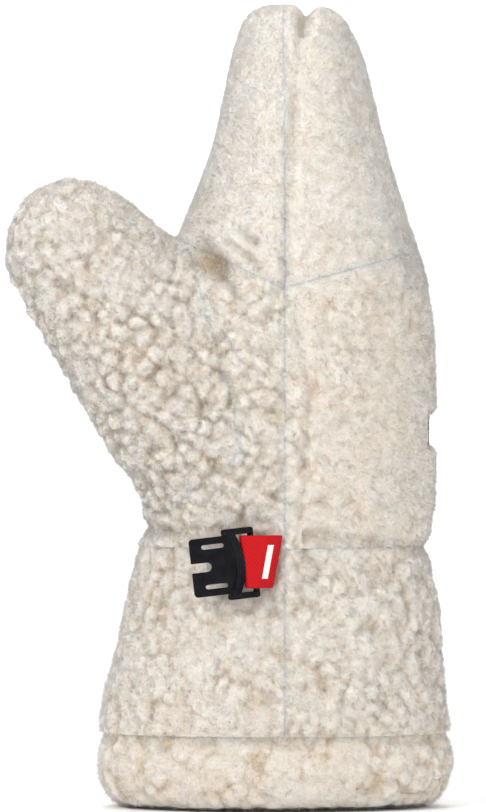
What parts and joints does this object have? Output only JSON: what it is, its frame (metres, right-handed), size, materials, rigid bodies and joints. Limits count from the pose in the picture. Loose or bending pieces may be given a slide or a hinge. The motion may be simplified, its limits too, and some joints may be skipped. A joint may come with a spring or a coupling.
{
  "type": "mitten",
  "caption": "Cream sherpa fleece mitten with a flip-back finger cap, knit collar inside, red webbing loop and black plastic glove hook at the wrist",
  "frame": {"origin": "middle of the cuff opening, in the plane of the hem", "axes": "+Z from the cuff to the fingertips, +X from the palm side to the back of the hand, -Y the thumb edge with the webbing loop"},
  "size_m": [0.1807, 0.1066, 0.3205],
  "materials": {
    "sherpa_fleece": "matte",
    "lining_fleece": "matte",
    "rib_knit": "matte",
    "binding_tape": "matte",
    "elastic": "matte",
    "grey_patch": "matte",
    "red_webbing": "satin",
    "white_label": "matte",
    "black_plastic": "satin"
  },
  "bodies": {
    "mitten": {"hem_band": "sherpa_fleece", "cuff_palm_panel": "sherpa_fleece", "cuff_back_panel": "sherpa_fleece", "cuff_lining": "lining_fleece", "wrist_elastic": "elastic", "hand_palm_panel": "sherpa_fleece", "hand_back_panel": "sherpa_fleece", "hand_lining": "lining_fleece", "hand_edge_binding": "binding_tape", "knuckle_collar": "rib_knit", "hinge_fold": "sherpa_fleece", "back_patch": "grey_patch", "thumb_front_panel": "sherpa_fleece", "thumb_rear_panel": "sherpa_fleece", "thumb_lining": "lining_fleece", "loop_tail": "red_webbing"},
    "cap": {"cap_palm_panel": "sherpa_fleece", "cap_back_panel": "sherpa_fleece", "cap_lining": "lining_fleece", "cap_edge_binding": "binding_tape"},
    "loop": {"webbing_loop": "red_webbing", "loop_label": "white_label"},
    "hook": {"glove_hook": "black_plastic"}
  },
  "joints": [
    {"name": "cap_flip", "type": "hinge", "parent": "mitten", "child": "cap", "pos_m": [0.0588, 0, 0.222], "axis": [0, 1, 0], "range_deg": [0, 180]},
    {"name": "loop_swing", "type": "hinge", "parent": "mitten", "child": "loop", "pos_m": [0.0025, -0.0504, 0.099], "axis": [0, 0, 1], "range_deg": [0, 100]},
    {"name": "hook_pivot", "type": "hinge", "parent": "loop", "child": "hook", "pos_m": [-0.0091, -0.0504, 0.099], "axis": [-0.1167, 0, 0.9932], "range_deg": [-15, 75]}
  ]
}
